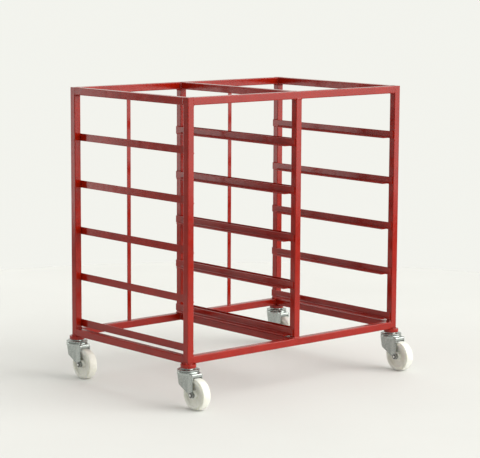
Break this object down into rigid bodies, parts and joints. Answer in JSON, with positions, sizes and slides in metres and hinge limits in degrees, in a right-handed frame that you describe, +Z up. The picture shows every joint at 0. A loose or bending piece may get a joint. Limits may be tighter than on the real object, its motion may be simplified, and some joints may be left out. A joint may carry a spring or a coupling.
{
  "type": "tray rack trolley",
  "caption": "Open welded tube frame with side-by-side bays of angle runners for trays, an open front, rear stop bars and swivel castors under the corners.",
  "frame": {"origin": "on the floor, under the middle of the whole trolley's box with the castors trailing towards the front", "axes": "+Z up, +X to the right along the open front, +Y from the open front to the stop bars at the rear"},
  "size_m": [1.008, 0.738, 1.005],
  "materials": {
    "red_paint": "glossy sprayed enamel with slight orange peel over weld beads",
    "zinc_plate": "bright zinc plated pressed sheet",
    "bolt_steel": "zinc plated machined steel",
    "nylon": "semi-translucent moulded nylon, fine satin"
  },
  "bodies": {
    "frame": {"post_front_left": "red_paint", "post_front_mid": "red_paint", "post_front_right": "red_paint", "post_rear_left": "red_paint", "post_rear_mid": "red_paint", "post_rear_right": "red_paint", "rail_bottom_front": "red_paint", "rail_bottom_rear": "red_paint", "rail_bottom_left": "red_paint", "rail_bottom_mid": "red_paint", "rail_bottom_right": "red_paint", "rail_top_front": "red_paint", "rail_top_rear": "red_paint", "rail_top_left": "red_paint", "rail_top_mid": "red_paint", "rail_top_right": "red_paint", "stop_bar_left": "red_paint", "stop_bar_right": "red_paint", "runner_left_bay_left_1": "red_paint", "runner_left_bay_left_2": "red_paint", "runner_left_bay_left_3": "red_paint", "runner_left_bay_left_4": "red_paint", "runner_left_bay_left_5": "red_paint", "runner_left_bay_right_1": "red_paint", "runner_left_bay_right_2": "red_paint", "runner_left_bay_right_3": "red_paint", "runner_left_bay_right_4": "red_paint", "runner_left_bay_right_5": "red_paint", "runner_right_bay_left_1": "red_paint", "runner_right_bay_left_2": "red_paint", "runner_right_bay_left_3": "red_paint", "runner_right_bay_left_4": "red_paint", "runner_right_bay_left_5": "red_paint", "runner_right_bay_right_1": "red_paint", "runner_right_bay_right_2": "red_paint", "runner_right_bay_right_3": "red_paint", "runner_right_bay_right_4": "red_paint", "runner_right_bay_right_5": "red_paint", "castor_boss_front_left": "red_paint", "castor_boss_front_right": "red_paint", "castor_boss_rear_left": "red_paint", "castor_boss_rear_right": "red_paint", "castor_head_front_left": "zinc_plate", "castor_head_front_right": "zinc_plate", "castor_head_rear_left": "zinc_plate", "castor_head_rear_right": "zinc_plate"},
    "fork_front_left": {"castor_fork_front_left": "zinc_plate", "castor_axle_front_left": "bolt_steel"},
    "wheel_front_left": {"castor_wheel_front_left": "nylon"},
    "fork_front_right": {"castor_fork_front_right": "zinc_plate", "castor_axle_front_right": "bolt_steel"},
    "wheel_front_right": {"castor_wheel_front_right": "nylon"},
    "fork_rear_left": {"castor_fork_rear_left": "zinc_plate", "castor_axle_rear_left": "bolt_steel"},
    "wheel_rear_left": {"castor_wheel_rear_left": "nylon"},
    "fork_rear_right": {"castor_fork_rear_right": "zinc_plate", "castor_axle_rear_right": "bolt_steel"},
    "wheel_rear_right": {"castor_wheel_rear_right": "nylon"}
  },
  "joints": [
    {"name": "swivel_front_left", "type": "hinge", "parent": "frame", "child": "fork_front_left", "pos_m": [-0.467, -0.273, 0.125], "axis": [0, 0, 1], "continuous": true},
    {"name": "roll_front_left", "type": "hinge", "parent": "fork_front_left", "child": "wheel_front_left", "pos_m": [-0.467, -0.317, 0.052], "axis": [1, 0, 0], "continuous": true},
    {"name": "swivel_front_right", "type": "hinge", "parent": "frame", "child": "fork_front_right", "pos_m": [0.467, -0.273, 0.125], "axis": [0, 0, 1], "continuous": true},
    {"name": "roll_front_right", "type": "hinge", "parent": "fork_front_right", "child": "wheel_front_right", "pos_m": [0.467, -0.317, 0.052], "axis": [1, 0, 0], "continuous": true},
    {"name": "swivel_rear_left", "type": "hinge", "parent": "frame", "child": "fork_rear_left", "pos_m": [-0.467, 0.332, 0.125], "axis": [0, 0, 1], "continuous": true},
    {"name": "roll_rear_left", "type": "hinge", "parent": "fork_rear_left", "child": "wheel_rear_left", "pos_m": [-0.467, 0.288, 0.052], "axis": [1, 0, 0], "continuous": true},
    {"name": "swivel_rear_right", "type": "hinge", "parent": "frame", "child": "fork_rear_right", "pos_m": [0.467, 0.332, 0.125], "axis": [0, 0, 1], "continuous": true},
    {"name": "roll_rear_right", "type": "hinge", "parent": "fork_rear_right", "child": "wheel_rear_right", "pos_m": [0.467, 0.288, 0.052], "axis": [1, 0, 0], "continuous": true}
  ]
}
